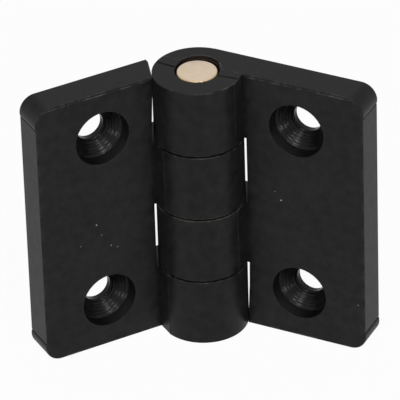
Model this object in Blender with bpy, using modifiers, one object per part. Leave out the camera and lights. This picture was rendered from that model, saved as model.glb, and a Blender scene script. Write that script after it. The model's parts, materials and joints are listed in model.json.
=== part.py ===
"""Moulded plastic butt hinge: two leaves from one mould turning on a brass pin.

The second leaf is the first one turned upside down, so that the knuckles of the two interleave.
Lengths are in metres. The hinge stands on its lower end, with its pin upright, and both leaves
are swung forward (towards -Y) from the flat position by the same angle.

Each leaf is modelled lying flat, about the middle of the pin's axis: X runs from the axis to the
leaf's outer edge, -Y is its front, the side the screws go in from, and Z is along the pin.
"""

import math

import bmesh
import bpy

# Leaf
HINGE_HEIGHT = 0.0500
LEAF_WIDTH = 0.0294
PLATE_THICKNESS = 0.0059
CORNER_RADIUS = 0.0034
EDGE_RADIUS = 0.00025

# Barrel
BARREL_RADIUS = 0.0076
KNUCKLES_PER_LEAF = 2
KNUCKLE_GAP = 0.0003
ROOT_FILLET = 0.0009
RELIEF_GAP = 0.0006
RELIEF_BACK = 0.0062

# Pin
PIN_RADIUS = 0.0036
PIN_BORE_GAP = 0.00018
PIN_RECESS = 0.0002
PIN_CHAMFER = 0.0002
MOUTH_WIDTH = 0.00055
MOUTH_DEPTH = 0.0003

# Screw holes, for countersunk screws
SCREW_FROM_AXIS = 0.0172
SCREW_FROM_END = 0.00875
SCREW_RADIUS = 0.00265
HEAD_RADIUS = 0.00475
HEAD_DEPTH = 0.0024
HEAD_ANGLE = math.radians(90)
HEAD_RIM = 0.00015

# Pose: how far each leaf is swung forward from the flat position
LEAF_SWING = math.radians(27)

# Derived places
PLATE_FRONT = -BARREL_RADIUS + PLATE_THICKNESS
BORE_RADIUS = PIN_RADIUS + PIN_BORE_GAP
RELIEF_RADIUS = BARREL_RADIUS + RELIEF_GAP
KNUCKLE_PITCH = HINGE_HEIGHT / (2 * KNUCKLES_PER_LEAF)
FRONT_REACH = LEAF_WIDTH * math.sin(LEAF_SWING) + PLATE_FRONT * math.cos(LEAF_SWING)
AXIS_Y = (FRONT_REACH - BARREL_RADIUS) / 2
OVERCUT = 0.002


def arc(centre, radius, start, end, steps):
    """Points of an arc in the plane, in degrees, both ends included."""
    turns = [math.radians(start + (end - start) * i / steps) for i in range(steps + 1)]
    return [(centre[0] + radius * math.cos(t), centre[1] + radius * math.sin(t)) for t in turns]


def leaf_section():
    """The leaf across the pin, seen from above: half a barrel in front and a plate tangent behind.

    Behind the pin's axis the barrel's side drops straight to the plate, as a mould that opens
    front to back needs, with a small fillet at its root. In this list +Y is the leaf's front.
    """
    root = (BARREL_RADIUS + ROOT_FILLET, PLATE_FRONT + ROOT_FILLET)
    points = [(0.0, -BARREL_RADIUS), (LEAF_WIDTH, -BARREL_RADIUS), (LEAF_WIDTH, PLATE_FRONT)]
    if root[1] < 0:
        points += arc(root, ROOT_FILLET, 270, 180, 6)
        points += arc((0, 0), BARREL_RADIUS, 0, 270, 66)[:-1]
    else:
        meet = math.degrees(math.asin(min(PLATE_FRONT / BARREL_RADIUS, 1)))
        points += arc((0, 0), BARREL_RADIUS, meet, 270, 60)[:-1]
    return points


def relief_section():
    """What is cut from the leaf where the other leaf's knuckle turns: its circle and all behind it."""
    reach = min(RELIEF_BACK, 0.95 * RELIEF_RADIUS)
    start = -math.degrees(math.acos(reach / RELIEF_RADIUS))
    back = -BARREL_RADIUS - OVERCUT
    points = arc((0, 0), RELIEF_RADIUS, start, 180, 60)
    return points + [(-RELIEF_RADIUS, back), (reach, back)]


def prism(name, section, height):
    """A mesh of the flat outline raised to a height, centred on the origin, its +Y turned to -Y."""
    curve = bpy.data.curves.new(name, "CURVE")
    curve.dimensions = "2D"
    curve.fill_mode = "BOTH"
    curve.extrude = height / 2
    spline = curve.splines.new("POLY")
    spline.points.add(len(section) - 1)
    for point, (x, y) in zip(spline.points, section):
        point.co = (x, -y, 0, 1)
    spline.use_cyclic_u = True
    guide = bpy.data.objects.new(name, curve)
    bpy.context.scene.collection.objects.link(guide)
    graph = bpy.context.evaluated_depsgraph_get()
    mesh = bpy.data.meshes.new_from_object(guide.evaluated_get(graph))
    mesh.name = name
    bpy.data.objects.remove(guide)
    bpy.data.curves.remove(curve)
    shape = bmesh.new()
    shape.from_mesh(mesh)
    bmesh.ops.remove_doubles(shape, verts=shape.verts, dist=1e-7)
    bmesh.ops.dissolve_limit(
        shape, angle_limit=math.radians(0.5), verts=shape.verts, edges=shape.edges
    )
    bmesh.ops.recalc_face_normals(shape, faces=shape.faces)
    shape.to_mesh(mesh)
    shape.free()
    return mesh


def round_outer_corners(mesh):
    """Rounds the plate's two outer corners, the edges that run from its front to its back."""
    shape = bmesh.new()
    shape.from_mesh(mesh)
    outer = [
        edge
        for edge in shape.edges
        if all(abs(v.co.x - LEAF_WIDTH) < 1e-6 for v in edge.verts)
        and abs(edge.verts[0].co.z - edge.verts[1].co.z) < 1e-6
    ]
    bmesh.ops.bevel(
        shape, geom=outer, offset=CORNER_RADIUS, segments=10, profile=0.5, affect="EDGES"
    )
    shape.to_mesh(mesh)
    shape.free()


def turned(name, profile, steps):
    """A mesh turned about Z from a profile of (radius, height) that runs from top to bottom."""
    mesh = bpy.data.meshes.new(name)
    mesh.from_pydata(
        [(r, 0, z) for r, z in profile], [(i, i + 1) for i in range(len(profile) - 1)], []
    )
    guide = bpy.data.objects.new(name, mesh)
    bpy.context.scene.collection.objects.link(guide)
    screw = guide.modifiers.new("turn", "SCREW")
    screw.steps = steps
    screw.render_steps = steps
    screw.use_merge_vertices = True
    screw.merge_threshold = 1e-6
    graph = bpy.context.evaluated_depsgraph_get()
    result = bpy.data.meshes.new_from_object(guide.evaluated_get(graph))
    result.name = name
    bpy.data.objects.remove(guide)
    bpy.data.meshes.remove(mesh)
    return result


def screw_hole_profile():
    """A countersunk screw's hole, its top at the plate's front face: recess, cone and shank hole."""
    cone_depth = (HEAD_RADIUS - SCREW_RADIUS) / math.tan(HEAD_ANGLE / 2)
    return [
        (0, OVERCUT),
        (HEAD_RADIUS + HEAD_RIM, OVERCUT),
        (HEAD_RADIUS + HEAD_RIM, 0),
        (HEAD_RADIUS, -HEAD_RIM),
        (HEAD_RADIUS, -HEAD_DEPTH),
        (SCREW_RADIUS, -HEAD_DEPTH - cone_depth),
        (SCREW_RADIUS, -PLATE_THICKNESS - OVERCUT),
        (0, -PLATE_THICKNESS - OVERCUT),
    ]


def bore_profile():
    """The pin's bore, with a shallow lead-in at both ends of the hinge."""
    end = HINGE_HEIGHT / 2
    half = [
        (0, end + OVERCUT),
        (BORE_RADIUS + MOUTH_WIDTH, end + OVERCUT),
        (BORE_RADIUS + MOUTH_WIDTH, end),
        (BORE_RADIUS, end - MOUTH_DEPTH),
    ]
    return half + [(r, -z) for r, z in reversed(half)]


def pin_profile():
    end = HINGE_HEIGHT / 2 - PIN_RECESS
    half = [(0, end), (PIN_RADIUS - PIN_CHAMFER, end), (PIN_RADIUS, end - PIN_CHAMFER)]
    return half + [(r, -z) for r, z in reversed(half)]


def material(name, colour, roughness, metallic):
    made = bpy.data.materials.new(name)
    made.use_nodes = True
    shader = made.node_tree.nodes["Principled BSDF"]
    shader.inputs["Base Color"].default_value = (*colour, 1)
    shader.inputs["Roughness"].default_value = roughness
    shader.inputs["Metallic"].default_value = metallic
    made.diffuse_color = (*colour, 1)
    return made


def place(mesh, name, collection, parent, location=(0, 0, 0), rotation=(0, 0, 0)):
    made = bpy.data.objects.new(name, mesh)
    collection.objects.link(made)
    made.parent = parent
    made.location = location
    made.rotation_euler = rotation
    return made


def cut(leaf, mesh, name, location=(0, 0, 0), rotation=(0, 0, 0)):
    """Takes the mesh from the leaf, as a hidden cutter that is fixed to it."""
    cutter = place(mesh, name, cutters, leaf, location, rotation)
    cutter.hide_render = True
    cutter.display_type = "WIRE"
    boolean = leaf.modifiers.new(name, "BOOLEAN")
    boolean.operation = "DIFFERENCE"
    boolean.solver = "EXACT"
    boolean.object = cutter


def smooth(mesh):
    mesh.shade_smooth()
    mesh.set_sharp_from_angle(angle=math.radians(30))


def make_leaf(name, rotation, finish):
    """One leaf: its blank with rounded edges, less the other's knuckles, the bore and the holes."""
    mesh = blank.copy()
    mesh.name = name
    mesh.materials.append(finish)
    leaf = place(mesh, name, hinge, axis, rotation=rotation)
    edges = leaf.modifiers.new("edges", "BEVEL")
    edges.width = EDGE_RADIUS
    edges.segments = 3
    edges.limit_method = "ANGLE"
    edges.angle_limit = math.radians(40)
    for index in range(KNUCKLES_PER_LEAF):
        middle = HINGE_HEIGHT / 2 - (2 * index + 1.5) * KNUCKLE_PITCH
        cut(leaf, relief, f"{name}_relief_{index + 1}", (0, 0, middle))
    cut(leaf, end_relief, f"{name}_relief_end", (0, 0, -HINGE_HEIGHT / 2))
    cut(leaf, bore, f"{name}_bore")
    for end, side in (("top", 1), ("bottom", -1)):
        height = side * (HINGE_HEIGHT / 2 - SCREW_FROM_END)
        where = (SCREW_FROM_AXIS, -PLATE_FRONT, height)
        cut(leaf, screw_hole, f"{name}_screw_{end}", where, (math.pi / 2, 0, 0))
    return leaf


for old in list(bpy.data.objects):
    bpy.data.objects.remove(old, do_unlink=True)

hinge = bpy.data.collections.new("plastic_hinge")
cutters = bpy.data.collections.new("cutters")
for group in (hinge, cutters):
    bpy.context.scene.collection.children.link(group)

axis = bpy.data.objects.new("hinge_axis", None)
axis.location = (0, AXIS_Y, HINGE_HEIGHT / 2)
axis.empty_display_size = 0.01
hinge.objects.link(axis)

# The blank of a leaf, before its cuts, and the cutters
blank = prism("leaf_blank", leaf_section(), HINGE_HEIGHT)
round_outer_corners(blank)
smooth(blank)
relief = prism("knuckle_relief", relief_section(), KNUCKLE_PITCH + KNUCKLE_GAP)
end_relief = prism("end_relief", relief_section(), KNUCKLE_PITCH)
bore = turned("pin_bore", bore_profile(), 72)
screw_hole = turned("screw_hole", screw_hole_profile(), 48)

# Both leaves in black polyamide
black = (0.021, 0.020, 0.020)
make_leaf("right_leaf", (0, 0, -LEAF_SWING), material("right_leaf_plastic", black, 0.5, 0))
make_leaf("left_leaf", (0, math.pi, LEAF_SWING), material("left_leaf_plastic", black, 0.5, 0))

# The pin, in brass
pin_mesh = turned("hinge_pin", pin_profile(), 72)
pin_mesh.materials.append(material("hinge_pin_brass", (0.62, 0.50, 0.36), 0.32, 1))
smooth(pin_mesh)
place(pin_mesh, "hinge_pin", hinge, axis)
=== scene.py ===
"""Looks of a moulded plastic butt hinge: two black leaves from one mould on a brass pin.

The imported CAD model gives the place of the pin's axis, and the three pieces here stand for its
three nodes. Each leaf is drawn lying flat about the middle of the axis, as it leaves the mould:
X runs to its outer edge, -Y is its front, where the screws go in, and Z is along the pin.
Lengths are in millimetres while a piece is drawn, and in metres once it is in its place.
"""

import json
import math

import bmesh
import bpy
from mathutils import Matrix, Vector


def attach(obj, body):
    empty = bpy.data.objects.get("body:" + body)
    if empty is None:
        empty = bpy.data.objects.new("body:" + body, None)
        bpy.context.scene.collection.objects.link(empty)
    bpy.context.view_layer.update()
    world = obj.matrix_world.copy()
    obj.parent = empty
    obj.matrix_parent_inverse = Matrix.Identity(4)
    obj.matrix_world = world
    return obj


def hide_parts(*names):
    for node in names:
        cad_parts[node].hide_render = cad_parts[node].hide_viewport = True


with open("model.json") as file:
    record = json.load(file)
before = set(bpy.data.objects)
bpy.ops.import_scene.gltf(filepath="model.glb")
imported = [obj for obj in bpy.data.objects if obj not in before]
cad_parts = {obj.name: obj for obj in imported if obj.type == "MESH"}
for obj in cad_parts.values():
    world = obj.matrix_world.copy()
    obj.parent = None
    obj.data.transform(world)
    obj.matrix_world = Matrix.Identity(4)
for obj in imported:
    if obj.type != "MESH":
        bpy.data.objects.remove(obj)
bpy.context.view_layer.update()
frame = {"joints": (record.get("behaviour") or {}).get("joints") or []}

# THE TWO LEAVES
# Each leaf is one shot of black glass-filled nylon: a flat plate with two knuckles on one edge.
# The mould opens front to back, so the knuckles' sides drop straight to the plate, and a fine
# line runs round the leaf where the two mould halves met.

HALF_HEIGHT = 25.0
PLATE_START = -0.3
LEAF_REACH = 29.4
BARREL_RADIUS = 7.6
PLATE_FRONT = 1.7
CREASE_ANGLE = 80
CORNER_RADIUS = 2.83
CORNER_BULGE = 0.09
FRONT_ROUNDING = 0.3
BACK_ROUNDING = 0.1


def drawn(half_height, start, *strokes):
    """A solid with upright sides.

    Its outline is drawn in lines, (x, y), and in arcs, (x and y of the centre, degrees, steps).
    """
    shape = bmesh.new()
    tip = bmesh.ops.create_vert(shape, co=(*start, -half_height))["vert"][0]
    for stroke in strokes:
        if len(stroke) == 2:
            tip = bmesh.ops.extrude_vert_indiv(shape, verts=[tip])["verts"][0]
            bmesh.ops.translate(shape, verts=[tip], vec=Vector((*stroke, -half_height)) - tip.co)
        else:
            *centre, turn, steps = stroke
            swept = bmesh.ops.spin(
                shape, geom=[tip], cent=(*centre, -half_height), axis=(0, 0, 1),
                angle=math.radians(turn), steps=steps,
            )
            tip = next(g for g in swept["geom_last"] if isinstance(g, bmesh.types.BMVert))
    bmesh.ops.remove_doubles(shape, verts=shape.verts, dist=1e-4)
    bmesh.ops.contextual_create(shape, geom=shape.edges[:])
    raised = bmesh.ops.extrude_face_region(shape, geom=shape.faces[:])
    upper = [g for g in raised["geom"] if isinstance(g, bmesh.types.BMVert)]
    bmesh.ops.translate(shape, verts=upper, vec=(0, 0, 2 * half_height))
    bmesh.ops.recalc_face_normals(shape, faces=shape.faces)
    return shape


def turned(profile, steps):
    """A solid turned about Z from a profile of (radius, height) that starts and ends on the axis."""
    shape = bmesh.new()
    tip = bmesh.ops.create_vert(shape, co=(profile[0][0], 0, profile[0][1]))["vert"][0]
    for radius, height in profile[1:]:
        tip = bmesh.ops.extrude_vert_indiv(shape, verts=[tip])["verts"][0]
        bmesh.ops.translate(shape, verts=[tip], vec=Vector((radius, 0, height)) - tip.co)
    bmesh.ops.spin(
        shape, geom=shape.verts[:] + shape.edges[:], cent=(0, 0, 0), axis=(0, 0, 1),
        angle=math.tau, steps=steps, use_merge=True,
    )
    bmesh.ops.remove_doubles(shape, verts=shape.verts, dist=1e-4)
    bmesh.ops.dissolve_degenerate(shape, edges=shape.edges, dist=1e-5)
    bmesh.ops.recalc_face_normals(shape, faces=shape.faces)
    return shape


def rounded(shape, radius, segments, chosen):
    """Rounds the edges that the test picks, given the two ends of each."""
    edges = [edge for edge in shape.edges if chosen(*(v.co for v in edge.verts))]
    bmesh.ops.bevel(
        shape, geom=edges, offset=radius, offset_type="OFFSET", segments=segments,
        profile=0.5, affect="EDGES", clamp_overlap=True, material=-1,
    )


def as_object(shape, name):
    mesh = bpy.data.meshes.new(name)
    shape.to_mesh(mesh)
    shape.free()
    made = bpy.data.objects.new(name, mesh)
    bpy.context.scene.collection.objects.link(made)
    return made


def combine(body, operation, *tools):
    """Joins the tools to the body, or cuts them from it, and removes them."""
    for tool in tools:
        boolean = body.modifiers.new(tool.name, "BOOLEAN")
        boolean.operation = operation
        boolean.solver = "MANIFOLD"
        boolean.object = tool
    mesh = bpy.data.meshes.new_from_object(
        body.evaluated_get(bpy.context.evaluated_depsgraph_get())
    )
    body.modifiers.clear()
    body.data = mesh
    for tool in tools:
        bpy.data.objects.remove(tool)


def bar(width, start, end, name):
    """A thin square bar from one point to another, set on its edge."""
    along = Vector(end) - Vector(start)
    shape = bmesh.new()
    bmesh.ops.create_cube(shape, size=1.0)
    place = (
        Matrix.Translation((Vector(start) + Vector(end)) / 2)
        @ along.to_track_quat("Z", "Y").to_matrix().to_4x4()
        @ Matrix.Rotation(math.pi / 4, 4, "Z")
        @ Matrix.Diagonal((width, width, along.length, 1))
    )
    bmesh.ops.transform(shape, matrix=place, verts=shape.verts)
    return as_object(shape, name)


# The plate seen from its front. Each corner was milled a little past the outer edge, which leaves
# a slight bulge with a crease under it.
corner_start = LEAF_REACH + CORNER_BULGE - CORNER_RADIUS
corner_height = HALF_HEIGHT - CORNER_RADIUS
past = math.acos(1 - CORNER_BULGE / CORNER_RADIUS)
crease_height = corner_height - CORNER_RADIUS * math.sin(past)
plate = drawn(
    (BARREL_RADIUS - PLATE_FRONT) / 2, (PLATE_START, -HALF_HEIGHT),
    (corner_start, -HALF_HEIGHT),
    (corner_start, -corner_height, 90 + math.degrees(past), 18),
    (LEAF_REACH, crease_height),
    (corner_start, corner_height, 90 + math.degrees(past), 18),
    (PLATE_START, HALF_HEIGHT),
    (PLATE_START, -HALF_HEIGHT),
)
to_front = Matrix.Translation((0, (BARREL_RADIUS + PLATE_FRONT) / 2, 0)) @ Matrix.Rotation(
    math.pi / 2, 4, "X"
)
bmesh.ops.transform(plate, matrix=to_front, verts=plate.verts)
for height, radius in ((PLATE_FRONT, FRONT_ROUNDING), (BARREL_RADIUS, BACK_ROUNDING)):
    rounded(
        plate, radius, 4,
        lambda a, b: max(abs(a.y - height), abs(b.y - height)) < 1e-3 and max(a.x, b.x) > 0,
    )

# Each flat face that a hole goes through is divided by a line across the hole, because the cut
# can close a hole that lies inside one face
SCREW_FROM_END = 8.75


def divided(shape, place, across):
    bmesh.ops.bisect_plane(
        shape, geom=shape.verts[:] + shape.edges[:] + shape.faces[:], dist=1e-4,
        plane_co=place, plane_no=across,
    )


for height in (HALF_HEIGHT - SCREW_FROM_END, SCREW_FROM_END - HALF_HEIGHT):
    divided(plate, (0, 0, height), (0, 0, 1))
leaf = as_object(plate, "leaf")

# Room for the other leaf's two knuckles. The one at the leaf's end fits more closely.
KNUCKLE_PITCH = 12.5
KNUCKLE_GAP = 0.3
RELIEF_RADIUS = 8.2
RELIEF_REACH = 6.2
END_RELIEF_RADIUS = 8.3
END_RELIEF_NARROWEST = 7.66
OVERCUT = 2.0


def relief(middle, half_height, radius, narrowest, name):
    across = math.degrees(math.acos(RELIEF_REACH / radius))
    shape = drawn(
        half_height, (-radius, 0),
        (0, 0, 180 + across, 90),
        (RELIEF_REACH, BARREL_RADIUS + OVERCUT),
        (-radius, BARREL_RADIUS + OVERCUT),
        (-radius, 0),
    )
    lower = [v for v in shape.verts if v.co.z < 0]
    bmesh.ops.scale(shape, verts=lower, vec=(narrowest / radius, narrowest / radius, 1))
    bmesh.ops.translate(shape, verts=shape.verts, vec=(0, 0, middle))
    return as_object(shape, name)


# A flat along the back of the end relief, where the other leaf's back lies when the hinge is
# folded right back
FOLDED_BACK = math.radians(20)
HEEL_FROM_AXIS = 7.66
HEEL_FRONT = 2.5


def heel(middle, half_height, name):
    front, rear = (
        (HEEL_FROM_AXIS - y * math.sin(FOLDED_BACK)) / math.cos(FOLDED_BACK)
        for y in (HEEL_FRONT, BARREL_RADIUS + OVERCUT)
    )
    shape = drawn(
        half_height, (0, HEEL_FRONT),
        (front, HEEL_FRONT),
        (rear, BARREL_RADIUS + OVERCUT),
        (0, BARREL_RADIUS + OVERCUT),
        (0, HEEL_FRONT),
    )
    bmesh.ops.translate(shape, verts=shape.verts, vec=(0, 0, middle))
    return as_object(shape, name)


# The pin's bore
BORE_RADIUS = 3.78
bore_end = HALF_HEIGHT + OVERCUT
bore = turned(
    [(0, bore_end), (BORE_RADIUS, bore_end), (BORE_RADIUS, -bore_end), (0, -bore_end)], 96
)

# Screw holes: a recess for the head, a 90-degree cone and a hole for the shank
SCREW_FROM_AXIS = 17.2
SCREW_RADIUS = 2.55
HEAD_RADIUS = 4.95
HEAD_DEPTH = 2.4
RIM_ROUNDING = 0.12
RECESS_BREAK = 0.03
HOLE_BREAK = 0.05


def screw_hole(height, name):
    rim = [
        (
            HEAD_RADIUS + RIM_ROUNDING * (1 - math.cos(math.radians(turn))),
            -RIM_ROUNDING * (1 - math.sin(math.radians(turn))),
        )
        for turn in (90, 68, 45, 22, 0)
    ]
    cone_end = -HEAD_DEPTH - (HEAD_RADIUS - SCREW_RADIUS)
    shape = turned(
        [
            (0, OVERCUT),
            (HEAD_RADIUS + RIM_ROUNDING, OVERCUT),
            *rim,
            (HEAD_RADIUS, -HEAD_DEPTH + RECESS_BREAK),
            (HEAD_RADIUS - RECESS_BREAK, -HEAD_DEPTH - RECESS_BREAK),
            (SCREW_RADIUS + HOLE_BREAK, cone_end + HOLE_BREAK),
            (SCREW_RADIUS, cone_end - HOLE_BREAK),
            (SCREW_RADIUS, PLATE_FRONT - BARREL_RADIUS - OVERCUT),
            (0, PLATE_FRONT - BARREL_RADIUS - OVERCUT),
        ],
        72,
    )
    to_plate = Matrix.Translation((SCREW_FROM_AXIS, PLATE_FRONT, height)) @ Matrix.Rotation(
        math.pi / 2, 4, "X"
    )
    bmesh.ops.transform(shape, matrix=to_plate, verts=shape.verts)
    return as_object(shape, name)


half_relief = (KNUCKLE_PITCH + KNUCKLE_GAP) / 2
combine(
    leaf, "DIFFERENCE",
    relief(KNUCKLE_PITCH / 2, half_relief, RELIEF_RADIUS, RELIEF_RADIUS, "relief"),
    relief(
        -KNUCKLE_PITCH * 1.5, half_relief, END_RELIEF_RADIUS, END_RELIEF_NARROWEST, "end_relief"
    ),
    heel(-KNUCKLE_PITCH * 1.5, half_relief, "heel"),
)

# The knuckles, their rims round where they rub on the next ones, each with a line of flash where
# its flat side starts
KNUCKLE_ROUNDING = 0.14
FLASH_WIDTH = 0.08
FLASH_STOPS_SHORT = 0.05
SIDE_INTO_PLATE = 1.0
DIVIDED_BEHIND_AXIS = 0.1
side_x = BARREL_RADIUS * math.sin(math.radians(CREASE_ANGLE))
side_y = -BARREL_RADIUS * math.cos(math.radians(CREASE_ANGLE))


def knuckle(bottom, top, name):
    shape = drawn(
        (top - bottom) / 2, (0, BARREL_RADIUS),
        (0, 0, 90, 36),
        (0, 0, 90 + CREASE_ANGLE, 72),
        (side_x, PLATE_FRONT + SIDE_INTO_PLATE),
        (0, BARREL_RADIUS),
    )
    rounded(
        shape, KNUCKLE_ROUNDING, 4,
        lambda a, b: abs(a.z - b.z) < 1e-3 and (a.x + b.x < 0.01 or a.y + b.y < 2 * PLATE_FRONT),
    )
    divided(shape, (0, DIVIDED_BEHIND_AXIS, 0), (0, 1, 0))
    bmesh.ops.translate(shape, verts=shape.verts, vec=(0, 0, (top + bottom) / 2))
    return as_object(shape, name)


knuckles = (
    (KNUCKLE_PITCH + KNUCKLE_GAP / 2, HALF_HEIGHT),
    (-KNUCKLE_PITCH + KNUCKLE_GAP / 2, -KNUCKLE_GAP / 2),
)
combine(
    leaf, "UNION",
    *(knuckle(bottom, top, "knuckle") for bottom, top in knuckles),
    *(
        bar(
            FLASH_WIDTH, (side_x, side_y, bottom + FLASH_STOPS_SHORT),
            (side_x, side_y, top - FLASH_STOPS_SHORT), "flash",
        )
        for bottom, top in knuckles
    ),
)

# On the end knuckle the two mould halves met a little out of step, which leaves a dark step on
# both sides of the bore. The bore's mouth is broken open a little, off its centre.
STEP_DEPTH = 0.18
STEP_SHOULDER = 0.36
MOUTH_RADIUS = 3.6
MOUTH_DEPTH = 0.3
MOUTH_FLARE = 0.25
MOUTH_TAPER = 0.1
MOUTH_CENTRE = (-0.3, 1.15)
WELL_CENTRE = (-0.05, 0.22)
WELL_RADIUS = 3.8
WELL_DEPTH = 1.2
CREASE_WIDTH = 0.26


def mould_step(start, end, name):
    along = Vector(end) - Vector(start)
    shape = bmesh.new()
    bmesh.ops.create_cube(shape, size=1.0)
    to_line = (
        Matrix.Translation((*start, HALF_HEIGHT - STEP_DEPTH))
        @ Matrix.Rotation(math.atan2(along.y, along.x), 4, "Z")
        @ Matrix.Rotation(-math.atan(STEP_DEPTH / STEP_SHOULDER), 4, "X")
        @ Matrix.Diagonal((along.length, STEP_SHOULDER * 1.1, 1.0, 1.0))
        @ Matrix.Translation((0.5, -0.5, 0.5))
    )
    bmesh.ops.transform(shape, matrix=to_line, verts=shape.verts)
    return as_object(shape, name)


mouth = turned(
    [
        (0, 1.0), (MOUTH_RADIUS + MOUTH_FLARE, 1.0),
        (MOUTH_RADIUS - MOUTH_TAPER, -MOUTH_DEPTH), (0, -MOUTH_DEPTH),
    ],
    96,
)
bmesh.ops.translate(mouth, verts=mouth.verts, vec=(*MOUTH_CENTRE, HALF_HEIGHT))
well = turned([(0, 1.0), (WELL_RADIUS, 1.0), (WELL_RADIUS, -WELL_DEPTH), (0, -WELL_DEPTH)], 96)
bmesh.ops.translate(well, verts=well.verts, vec=(*WELL_CENTRE, HALF_HEIGHT))
combine(
    leaf, "DIFFERENCE",
    as_object(bore, "bore"),
    screw_hole(HALF_HEIGHT - SCREW_FROM_END, "screw_top"),
    screw_hole(SCREW_FROM_END - HALF_HEIGHT, "screw_bottom"),
    mould_step((-7.75, 0.02), (-3.9, -0.32), "step_left"),
    mould_step((3.9, 0.1), (7.44, 0.4), "step_right"),
    as_object(mouth, "mouth"),
    as_object(well, "well"),
    *(
        bar(
            CREASE_WIDTH, (LEAF_REACH, PLATE_FRONT - 1, height),
            (LEAF_REACH, BARREL_RADIUS + 1, height), "crease",
        )
        for height in (crease_height, -crease_height)
    ),
)

# Slivers that the cuts leave would tilt the shading beside them
SLIVER = 3e-3
shape = bmesh.new()
shape.from_mesh(leaf.data)
bmesh.ops.remove_doubles(shape, verts=shape.verts, dist=SLIVER)
bmesh.ops.dissolve_degenerate(shape, edges=shape.edges, dist=SLIVER)
shape.to_mesh(leaf.data)
shape.free()


class Wire:
    """One value of a material's nodes, so that sums on it can be written as sums."""

    def __init__(self, paint, socket):
        self.paint, self.socket = paint, socket

    def sum(self, operation, *others):
        return self.paint.node(
            "ShaderNodeMath", {"operation": operation}, dict(enumerate(others))
        )

    def __add__(self, other):
        return self.sum("ADD", self, other)

    def __radd__(self, other):
        return self.sum("ADD", other, self)

    def __sub__(self, other):
        return self.sum("SUBTRACT", self, other)

    def __rsub__(self, other):
        return self.sum("SUBTRACT", other, self)

    def __mul__(self, other):
        return self.sum("MULTIPLY", self, other)

    def larger(self, other):
        return self.sum("MAXIMUM", self, other)

    def smaller(self, other):
        return self.sum("MINIMUM", self, other)

    def __gt__(self, other):
        return self.sum("GREATER_THAN", self, other)

    def __lt__(self, other):
        return self.sum("LESS_THAN", self, other)

    def __abs__(self):
        return self.sum("ABSOLUTE", self)

    def __getattr__(self, letter):
        """x, y and z of a vector."""
        split = self.paint.node("ShaderNodeSeparateXYZ", {}, {"Vector": self})
        return Wire(self.paint, split.socket.node.outputs[letter.upper()])


class Paint:
    """The nodes of one material or of the world."""

    def __init__(self, owner):
        owner.use_nodes = True
        self.tree = owner.node_tree

    def node(self, kind, settings, values, output=0):
        """Adds a node, and returns one of its outputs."""
        made = self.tree.nodes.new(kind)
        for name, value in settings.items():
            if name == "stops":
                for stop in list(made.color_ramp.elements)[1:]:
                    made.color_ramp.elements.remove(stop)
                for place, level in value:
                    stop = made.color_ramp.elements.new(place)
                    stop.color = (level, level, level, 1)
                made.color_ramp.elements.remove(made.color_ramp.elements[0])
            else:
                setattr(made, name, value)
        for name, value in values.items():
            self.set(made, name, value)
        outputs = [socket for socket in made.outputs if socket.enabled]
        return Wire(self, outputs[output])

    def set(self, made, name, value):
        sockets = [s for s in made.inputs if s.enabled]
        if isinstance(name, int):
            socket = sockets[name]
        else:
            socket = next(s for s in sockets if s.name == name)
        if isinstance(value, Wire):
            self.tree.links.new(value.socket, socket)
        elif isinstance(value, tuple) and len(value) == 3 and socket.type == "RGBA":
            socket.default_value = (*value, 1)
        else:
            socket.default_value = value

    def finish(self, name, values):
        """Sets the sockets of a node that is there already."""
        for socket, value in values.items():
            self.set(self.tree.nodes[name], socket, value)

    def seen(self):
        """1 for what the camera, a glossy reflection or a clear piece looks at, and 0 elsewhere."""
        path = self.node("ShaderNodeLightPath", {}, {}).socket.node
        kinds = ("Is Camera Ray", "Is Glossy Ray", "Is Transmission Ray")
        camera, glossy, transmission = (Wire(self, path.outputs[kind]) for kind in kinds)
        return camera + glossy + transmission

    def noise(self, where, size, detail=2.0, roughness=0.5):
        """Noise from 0 to 1 whose lumps are about this many metres across."""
        return self.node(
            "ShaderNodeTexNoise", {},
            {"Vector": where, "Scale": 0.5 / size, "Detail": detail, "Roughness": roughness},
        )

    def length(self, x, y, z):
        return self.node(
            "ShaderNodeVectorMath", {"operation": "LENGTH"},
            {"Vector": self.node("ShaderNodeCombineXYZ", {}, {"X": x, "Y": y, "Z": z})},
        )

    def ramp(self, value, *stops):
        return self.node("ShaderNodeValToRGB", {"stops": stops}, {"Fac": value})

    def mix(self, factor, first, second):
        return self.node(
            "ShaderNodeMix", {"data_type": "RGBA"}, {"Factor": factor, "A": first, "B": second}
        )


NYLON = (0.0030, 0.0030, 0.0031)
NYLON_PALE = (0.0136, 0.0131, 0.0127)
# Pale: rubbing, and painted highlights and a painted glint on edges, rims and the bore's lip
WORN_AND_HIGHLIGHT = (0.058, 0.056, 0.053)
DUST = (0.6, 0.56, 0.5)
# Dark brown: a painted reflection of the brass pin, with painted shade, on the floor of the bore's
# mouth
PIN_REFLECTION_SHADE = (0.016, 0.008, 0.0045)
NYLON_ROUGHNESS = 0.4
CONE_ROUGHNESS = 0.22
NYLON_SPECULAR = 0.12
SKIN_MOTTLE = 3.0
CONE_MOTTLE = 4.0
CUTTER_RINGS = 2600.0
RING_DEPTH = 14.0
EDGE_WEAR_AND_HIGHLIGHT = 0.09
RIM_HIGHLIGHT = 0.17
MM = 0.001


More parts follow.
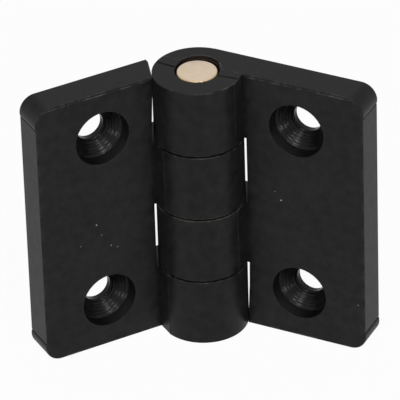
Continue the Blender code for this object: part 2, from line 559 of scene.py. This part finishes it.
def nylon(name, turn, specks):
    """Black moulded nylon, with a fine matt grain.

    It is ringed where a cutter left the screw cones, and dusty. Pale lines on its front
    rounding are rubbing and painted highlights, the knuckles' front rims carry painted
    highlights and the far lip of the bore's mouth a painted glint. The mouth's floor has a
    painted brown reflection of the pin with painted shade, and the screw recesses painted shade.
    """
    material = bpy.data.materials.new(name)
    paint = Paint(material)
    place = paint.node("ShaderNodeTexCoord", {}, {}, output=3)
    # Undoes the leaf's swing, so that a place on the leaf is read as it was drawn
    undo = turn.inverted()
    place = paint.node(
        "ShaderNodeMapping", {"vector_type": "POINT"},
        {
            "Vector": place,
            "Location": tuple(undo.to_translation()),
            "Rotation": tuple(undo.to_euler()),
        },
    )
    clouds = paint.noise(place, 0.0045, detail=3.0, roughness=0.6)
    mottle = paint.noise(place, 0.0009, detail=4.0, roughness=0.65)
    grain = paint.noise(place, 0.00028, detail=3.0, roughness=0.7)
    from_axis = paint.length(place.x, place.y, 0.0)

    # The screw cones, seen from the middle of the nearer hole
    over = abs(place.z) - (HALF_HEIGHT - SCREW_FROM_END) * MM
    from_screw = paint.length(place.x - SCREW_FROM_AXIS * MM, over, 0.0)
    in_cone = (from_screw < (HEAD_RADIUS - RECESS_BREAK) * MM) * (
        place.y > (PLATE_FRONT + HEAD_DEPTH - 0.1) * MM
    )
    rings = paint.node(
        "ShaderNodeTexNoise", {"noise_dimensions": "1D"},
        {"W": from_screw, "Scale": CUTTER_RINGS, "Detail": 2.0, "Roughness": 0.6},
    )
    skin = grain + mottle * SKIN_MOTTLE
    bumps = skin + (rings * RING_DEPTH + mottle * CONE_MOTTLE - skin) * in_cone

    # Pale lines: on both sides of the rounding round the plate's front, rubbing and painted
    # highlights together; on the front of the knuckles' rims, painted highlights
    inset = CORNER_RADIUS * MM - paint.length(
        (place.x - corner_start * MM).larger(0.0),
        (abs(place.z) - corner_height * MM).larger(0.0),
        0.0,
    )
    from_edge = abs(inset + place.y - (PLATE_FRONT + FRONT_ROUNDING) * MM)
    edge = (from_edge < EDGE_WEAR_AND_HIGHLIGHT * MM) * paint.ramp(
        abs(place.z) * (1 / (HALF_HEIGHT * MM)), (0.94, 0.15), (0.98, 1.0)
    )
    # Painted highlight on the front of the knuckles' outer rims
    rim = abs(place.z - HALF_HEIGHT * MM)
    for height in (knuckles[0][0], *knuckles[1]):
        rim = rim.smaller(abs(place.z - height * MM))
    rim = (
        (rim < RIM_HIGHLIGHT * MM) * (from_axis > (BARREL_RADIUS - 0.2) * MM)
        * (from_axis < (BARREL_RADIUS + 0.1) * MM) * (place.y < 0.8 * MM)
    )
    # Painted glint on the far lip of the bore's mouth
    from_mouth = paint.length(place.x - MOUTH_CENTRE[0] * MM, place.y - MOUTH_CENTRE[1] * MM, 0.0)
    mouth_lip_glint = (
        (from_mouth > (MOUTH_RADIUS + 0.02) * MM) * (from_mouth < (MOUTH_RADIUS + 0.3) * MM)
        * (place.z > (HALF_HEIGHT - 0.09) * MM) * (place.y > 2.4 * MM)
    )
    # Pale paint: rubbing and painted highlights on the edges, painted highlights on the rims, a
    # painted glint on the lip
    rubbing_and_highlights = (
        edge * paint.ramp(mottle, (0.44, 0.0), (0.6, 1.0))
        + rim * paint.ramp(mottle * 0.5 + clouds * 0.5, (0.45, 0.0), (0.58, 0.9))
        + mouth_lip_glint * paint.ramp(mottle, (0.5, 0.0), (0.56, 1.6))
    )
    # Painted brown reflection of the brass pin and painted shade on the floor of the bore's mouth
    mouth_floor_reflection = (
        (from_axis < 5.3 * MM) * (place.z > (HALF_HEIGHT - MOUTH_DEPTH - 0.3) * MM)
        * (place.z < (HALF_HEIGHT - 0.05) * MM)
    )

    dust = 0.0
    for along, front, height, size in specks:
        near = paint.node(
            "ShaderNodeVectorMath", {"operation": "DISTANCE"},
            {0: place, 1: (along * MM, front * MM, height * MM)},
        )
        ragged = near + (grain - 0.5) * (size * 0.9 * MM)
        dust = dust + paint.ramp(ragged * (1 / (size * MM)), (0.55, 1.0), (1.0, 0.0))
    shade = paint.ramp(mottle * 0.7 + clouds * 0.3, (0.3, 0.0), (0.7, 1.0))
    colour = paint.mix(shade, NYLON, NYLON_PALE)
    # Painted shade: the walls of the screw recesses take the darkest nylon
    recess_shade = (from_screw < (HEAD_RADIUS + 0.02) * MM) * (
        place.y > (PLATE_FRONT + RIM_ROUNDING) * MM
    ) * (1 - in_cone)
    colour = paint.mix(recess_shade, colour, NYLON)
    colour = paint.mix(rubbing_and_highlights, colour, WORN_AND_HIGHLIGHT)
    colour = paint.mix(mouth_floor_reflection * paint.ramp(mottle, (0.35, 0.3), (0.6, 1.0)), colour, PIN_REFLECTION_SHADE)
    colour = paint.mix(dust, colour, DUST)
    plain = NYLON_ROUGHNESS + (mottle - 0.5) * 0.22 + (clouds - 0.5) * 0.1
    normal = paint.node(
        "ShaderNodeBump", {}, {"Strength": 0.4, "Distance": 0.00002, "Height": bumps}
    )
    paint.finish(
        "Principled BSDF",
        {
            "Base Color": colour,
            "Roughness": plain + (CONE_ROUGHNESS - plain) * in_cone,
            "Specular IOR Level": NYLON_SPECULAR,
            "Normal": normal,
        },
    )
    return material


def smooth(obj, angle):
    obj.data.shade_smooth()
    obj.data.set_sharp_from_angle(angle=math.radians(angle))
    weighted = obj.modifiers.new("even_shading", "WEIGHTED_NORMAL")
    weighted.keep_sharp = True
    weighted.weight = 100


LEAF_SWING = math.radians(27)
axis_place = Matrix.Translation(frame["joints"][0]["pos_m"])
millimetres = Matrix.Scale(MM, 4)
right_turn = axis_place @ Matrix.Rotation(-LEAF_SWING, 4, "Z")
left_turn = axis_place @ Matrix.Rotation(LEAF_SWING, 4, "Z") @ Matrix.Rotation(math.pi, 4, "Y")
right_specks = [
    (14.2, 1.7, 1.8, 0.14), (13.1, 1.7, 3.3, 0.07), (28.2, 1.7, -15.8, 0.08),
    (7.4, 1.3, -10.7, 0.1),
]
left_specks = [
    (19.1, 1.7, 0.4, 0.12), (18.2, 1.7, 2.7, 0.08), (22.2, 1.7, 3.7, 0.07), (16.5, 1.7, 5.3, 0.09),
    (15.3, 1.7, 6.0, 0.08), (-2.4, -7.2, 7.4, 0.07),
]

for name, body, turn, specks in (
    ("right_leaf_nylon", "right_leaf_and_pin", right_turn, right_specks),
    ("left_leaf_nylon", "left_leaf", left_turn, left_specks),
):
    made = bpy.data.objects.new(name, leaf.data.copy())
    bpy.context.scene.collection.objects.link(made)
    made.data.transform(turn @ millimetres)
    made.data.materials.clear()
    made.data.materials.append(nylon(name, turn, specks))
    smooth(made, angle=24)
    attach(made, body)
    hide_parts(name.replace("_nylon", ""))
bpy.data.objects.remove(leaf)

# THE PIN
# A plain brass rod, faced and chamfered at both ends in a lathe, pressed in and held by the
# knuckles of one leaf. Its ends sit just below the leaf's.

PIN_RADIUS = 3.6
PIN_END = 24.94
PIN_CHAMFER = 0.28
PIN_BREAK = 0.04
BRASS = (0.69, 0.57, 0.44)
BRASS_WARM = (0.62, 0.46, 0.28)
BRASS_BROWN = (0.42, 0.25, 0.11)

pin_half = [
    (0, PIN_END),
    (PIN_RADIUS - PIN_CHAMFER - PIN_BREAK, PIN_END),
    (PIN_RADIUS - PIN_CHAMFER, PIN_END - PIN_BREAK / 2),
    (PIN_RADIUS - PIN_BREAK / 2, PIN_END - PIN_CHAMFER),
    (PIN_RADIUS, PIN_END - PIN_CHAMFER - PIN_BREAK),
]
pin = as_object(
    turned(pin_half + [(radius, -height) for radius, height in reversed(pin_half)], 128),
    "brass_pin",
)
pin.data.transform(axis_place @ millimetres)

material = bpy.data.materials.new("turned_brass")
paint = Paint(material)
place = paint.node("ShaderNodeTexCoord", {}, {}, output=3)
place = paint.node(
    "ShaderNodeMapping", {"vector_type": "POINT"},
    {"Vector": place, "Location": tuple(axis_place.inverted().to_translation())},
)
radius = paint.length(place.x, place.y, 0.0)
rings = paint.node(
    "ShaderNodeTexNoise", {"noise_dimensions": "1D"},
    {"W": radius, "Scale": 7000.0, "Detail": 3.0, "Roughness": 0.6},
)
clouds = paint.noise(place, 0.0011, detail=4.0, roughness=0.6)
fine = paint.noise(place, 0.00035, detail=3.0, roughness=0.6)
rim = paint.ramp(radius * (1 / (PIN_RADIUS * MM)) + (fine - 0.5) * 0.06, (0.9, 0.0), (0.955, 1.0))
colour = paint.mix(paint.ramp(clouds, (0.35, 0.0), (0.7, 0.45)), BRASS, BRASS_WARM)
colour = paint.mix(rim * 0.85, colour, BRASS_BROWN)
paint.finish(
    "Principled BSDF",
    {
        "Base Color": colour,
        "Metallic": 1.0,
        "Roughness": 0.3 + (clouds - 0.5) * 0.16,
        "Normal": paint.node(
            "ShaderNodeBump", {},
            {"Strength": 0.4, "Distance": 0.000008, "Height": rings * 0.5 + fine},
        ),
    },
)
pin.data.materials.append(material)
smooth(pin, angle=32)
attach(pin, "right_leaf_and_pin")
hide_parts("hinge_pin")

# THE STUDIO
# A white floor, and a white sheet far behind. Four soft lamps stand in front, a low one and a
# high one on each side.

FLOOR_HALF = 3.0
WHITE_GLOW = 0.96
floor_shape = bmesh.new()
bmesh.ops.create_grid(floor_shape, x_segments=1, y_segments=1, size=FLOOR_HALF)
floor = as_object(floor_shape, "floor")
sheet_shape = bmesh.new()
bmesh.ops.create_grid(sheet_shape, x_segments=1, y_segments=1, size=1.0)
bmesh.ops.transform(
    sheet_shape, verts=sheet_shape.verts,
    matrix=Matrix.Translation((0, 2.4, 2.2)) @ Matrix.Rotation(math.pi / 2, 4, "X")
    @ Matrix.Diagonal((2.2, 2.2, 1, 1)),
)
backdrop = as_object(sheet_shape, "backdrop")


def white(name):
    """White that the camera and reflections see as plain white, and that still takes a shadow."""
    material = bpy.data.materials.new(name)
    paint = Paint(material)
    plain = paint.node("ShaderNodeBsdfDiffuse", {}, {"Color": (0.9, 0.9, 0.9)})
    bright = paint.node("ShaderNodeEmission", {}, {"Color": (1.0, 1.0, 1.0), "Strength": 1.0})
    mixed = paint.node("ShaderNodeMixShader", {}, {0: paint.seen() * WHITE_GLOW, 1: plain, 2: bright})
    paint.tree.links.new(mixed.socket, paint.tree.nodes["Material Output"].inputs["Surface"])
    return material


floor.data.materials.append(white("white_floor"))
backdrop.data.materials.append(white("white_sheet"))

# The world is bright below the horizon and dim above it, and plain white where it is looked at
world = bpy.data.worlds.new("studio")
bpy.context.scene.world = world
paint = Paint(world)
direction = paint.node("ShaderNodeTexCoord", {}, {}, output=0)
level = paint.ramp(direction.z * 0.5 + 0.5, (0.5, 1.0), (0.53, 0.08))
paint.finish(
    "Background", {"Color": (1.0, 1.0, 1.0), "Strength": level.larger(paint.seen())}
)


def lamp(name, azimuth, elevation, distance, size, watts):
    """A soft square lamp aimed at the hinge. Azimuth 0 is in front, and grows to the right."""
    light = bpy.data.lights.new(name, "AREA")
    light.shape = "SQUARE"
    light.size = size
    light.energy = watts
    turn, rise = math.radians(azimuth), math.radians(elevation)
    way = Vector(
        (math.sin(turn) * math.cos(rise), -math.cos(turn) * math.cos(rise), math.sin(rise))
    )
    holder = bpy.data.objects.new(name, light)
    bpy.context.scene.collection.objects.link(holder)
    holder.location = way * distance + Vector((0, 0, HALF_HEIGHT * MM))
    holder.rotation_euler = way.to_track_quat("Z", "Y").to_euler()


lamp("left_lamp", -40, 6, 1.2, 0.25, 3.5)
lamp("right_lamp", 40, 6, 1.2, 0.25, 3.6)
lamp("upper_left_lamp", -20, 48, 1.2, 0.26, 3.6)
lamp("upper_right_lamp", 22, 50, 1.2, 0.26, 3.6)

# THE CAMERA
# Above and in front of the hinge, from far enough away for the upright lines to stay upright.

CAMERA_DISTANCE = 0.860388
CAMERA_RISE = math.radians(33.0055)
CAMERA_ROLL = math.radians(-1.8627)
CAMERA_TURN = math.radians(-0.395)
CAMERA_TARGET = Vector((-0.0001941, 0, 0.0242533))
FOCAL_PIXELS = 5078.05
PHOTO_PIXELS = 400
SENSOR = 36.0

camera_data = bpy.data.cameras.new("camera")
camera_data.sensor_fit = "HORIZONTAL"
camera_data.sensor_width = SENSOR
camera_data.lens = FOCAL_PIXELS * SENSOR / PHOTO_PIXELS
camera_data.clip_start = 0.05
camera_data.clip_end = 20
camera = bpy.data.objects.new("camera", camera_data)
bpy.context.scene.collection.objects.link(camera)
back = Vector((0, -math.cos(CAMERA_RISE), math.sin(CAMERA_RISE)))
right = Vector((1, 0, 0))
up = back.cross(right)
rolled_right = math.cos(CAMERA_ROLL) * right + math.sin(CAMERA_ROLL) * up
rolled_up = math.cos(CAMERA_ROLL) * up - math.sin(CAMERA_ROLL) * right
aimed = Matrix((rolled_right, rolled_up, back)).transposed().to_4x4()
aimed.translation = CAMERA_TARGET + back * CAMERA_DISTANCE
axis_ground = Vector(frame["joints"][0]["pos_m"]) * Vector((1, 1, 0))
camera.matrix_world = (
    Matrix.Translation(axis_ground) @ Matrix.Rotation(CAMERA_TURN, 4, "Z") @ aimed
)
bpy.context.scene.camera = camera
bpy.context.scene.view_settings.view_transform = "Standard"
